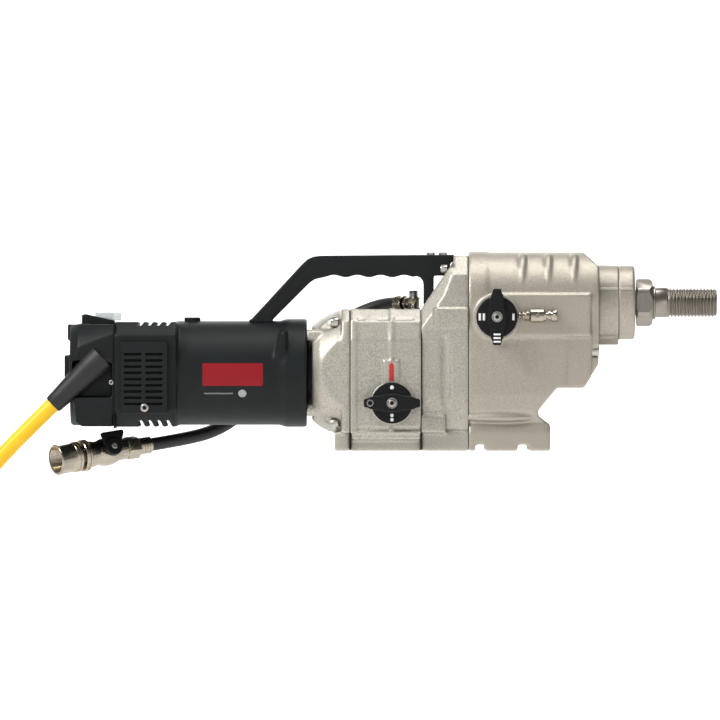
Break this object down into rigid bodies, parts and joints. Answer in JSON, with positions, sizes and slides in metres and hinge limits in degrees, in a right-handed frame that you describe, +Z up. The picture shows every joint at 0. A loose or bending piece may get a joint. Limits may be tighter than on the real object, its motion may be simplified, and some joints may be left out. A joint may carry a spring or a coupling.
{
  "type": "core drill motor",
  "caption": "Electric core-drill motor with a two-stage selector gearbox, mounting foot, threaded drill spindle, water feed valve, carrying handle and power cord.",
  "frame": {"origin": "centre of the mounting foot's flat bottom face", "axes": "+X from the motor to the drill spindle, +Z up out of the foot, -Y the side with the selector knobs"},
  "size_m": [0.857, 0.2449, 0.6802],
  "materials": {
    "cast_alloy": "sand-cast, blasted",
    "black_plastic": "moulded, satin",
    "clear_plastic": "clear moulding",
    "bright_steel": "ground and turned",
    "bearing_steel": "polished",
    "fork_bronze": "machined",
    "nickel_brass": "nickel plated",
    "black_rubber": "smooth",
    "lever_black": "coated",
    "yellow_sheath": "satin sheath",
    "lamination": "stacked sheets",
    "fan_plastic": "moulded",
    "carbon": "pressed"
  },
  "bodies": {
    "housing": {"adapter_casting": "cast_alloy", "lower_case": "cast_alloy", "centre_case": "cast_alloy", "head_case": "cast_alloy", "nose_casting": "cast_alloy", "seal_cap": "cast_alloy", "motor_housing": "black_plastic", "motor_rear_cap": "black_plastic", "side_vent_covers": "black_plastic", "button_head_screws": "bright_steel", "brush_access_cap": "black_plastic", "field_stator": "lamination", "armature_bearings": "bearing_steel", "brush_holders": "black_plastic", "carbon_brushes": "carbon", "switch_guard": "black_plastic", "switch_splash_cover": "clear_plastic", "layshaft_bearings": "bearing_steel", "intermediate_bearings": "bearing_steel", "spindle_bearings": "bearing_steel", "spindle_seal": "black_rubber", "water_seals": "black_rubber", "upper_shift_fork": "fork_bronze", "lower_shift_fork": "fork_bronze", "shift_rails": "bright_steel", "plunger_sleeve": "bright_steel", "plunger_spring": "bright_steel", "carrying_handle": "black_plastic", "case_screws": "bright_steel", "water_hose": "black_rubber", "hose_ferrules": "nickel_brass", "water_elbow": "nickel_brass", "water_elbow_bolt": "nickel_brass", "hose_clip": "bright_steel", "water_valve_body": "nickel_brass", "coupling_seal": "black_rubber", "cord_boot": "black_rubber", "power_cord": "yellow_sheath", "power_cord_coil": "yellow_sheath", "power_plug": "black_plastic"},
    "armature": {"armature_shaft": "bright_steel", "armature_core": "lamination", "commutator": "fork_bronze", "cooling_fan": "fan_plastic"},
    "layshaft_group": {"layshaft": "bright_steel"},
    "intermediate_group": {"intermediate_shaft": "bright_steel", "low_speed_gears": "bright_steel"},
    "spindle_group": {"spindle": "bright_steel", "spindle_gears": "bright_steel"},
    "upper_selector": {"upper_selector_knob": "black_plastic", "upper_selector_shaft": "bright_steel", "upper_selector_screw": "bright_steel"},
    "lower_selector": {"lower_selector_knob": "black_plastic", "lower_selector_shaft": "bright_steel", "lower_selector_screw": "bright_steel"},
    "lock_plunger": {"plunger_pin": "bright_steel"},
    "rocker": {"switch_rocker": "black_plastic"},
    "valve_stem": {"water_valve_ball": "nickel_brass", "water_valve_lever": "lever_black"},
    "swivel_nut": {"coupling_nut": "nickel_brass"}
  },
  "joints": [
    {"name": "armature_spin", "type": "hinge", "parent": "housing", "child": "armature", "pos_m": [-0.2, 0, 0.083], "axis": [1, 0, 0], "continuous": true},
    {"name": "layshaft_spin", "type": "hinge", "parent": "housing", "child": "layshaft_group", "pos_m": [-0.06, 0, 0.04925], "axis": [1, 0, 0], "continuous": true},
    {"name": "intermediate_spin", "type": "hinge", "parent": "housing", "child": "intermediate_group", "pos_m": [0.03, 0, 0.10025], "axis": [1, 0, 0], "continuous": true},
    {"name": "spindle_spin", "type": "hinge", "parent": "housing", "child": "spindle_group", "pos_m": [0.15, 0, 0.15825], "axis": [1, 0, 0], "continuous": true},
    {"name": "upper_selector_turn", "type": "hinge", "parent": "housing", "child": "upper_selector", "pos_m": [0.058, -0.07, 0.1426], "axis": [0, -1, 0], "range_deg": [0, 180]},
    {"name": "lower_selector_turn", "type": "hinge", "parent": "housing", "child": "lower_selector", "pos_m": [-0.0537, -0.07, 0.051], "axis": [0, -1, 0], "range_deg": [0, 180]},
    {"name": "lock_plunger_pull", "type": "slide", "parent": "housing", "child": "lock_plunger", "axis": [1, 0, 0], "range_m": [0, 0.0045], "stiffness_N_per_m": 400, "springref_m": -0.004},
    {"name": "switch_rock", "type": "hinge", "parent": "housing", "child": "rocker", "pos_m": [-0.3605, 0, 0.139], "axis": [0, 1, 0], "range_deg": [0, 14]},
    {"name": "valve_turn", "type": "hinge", "parent": "housing", "child": "valve_stem", "pos_m": [-0.35975, -0.01288, -0.00148], "axis": [-0.4414, 0.8435, -0.3061], "range_deg": [0, 90]},
    {"name": "coupling_swivel", "type": "hinge", "parent": "housing", "child": "swivel_nut", "pos_m": [-0.39915, -0.03578, -0.00777], "axis": [-0.8565, -0.4978, -0.1366], "continuous": true}
  ],
  "couplings": [
    {"joint": "layshaft_spin", "follows": "armature_spin", "ratio": -0.22727},
    {"joint": "intermediate_spin", "follows": "armature_spin", "ratio": 0.088126},
    {"joint": "spindle_spin", "follows": "armature_spin", "ratio": -0.02804}
  ]
}
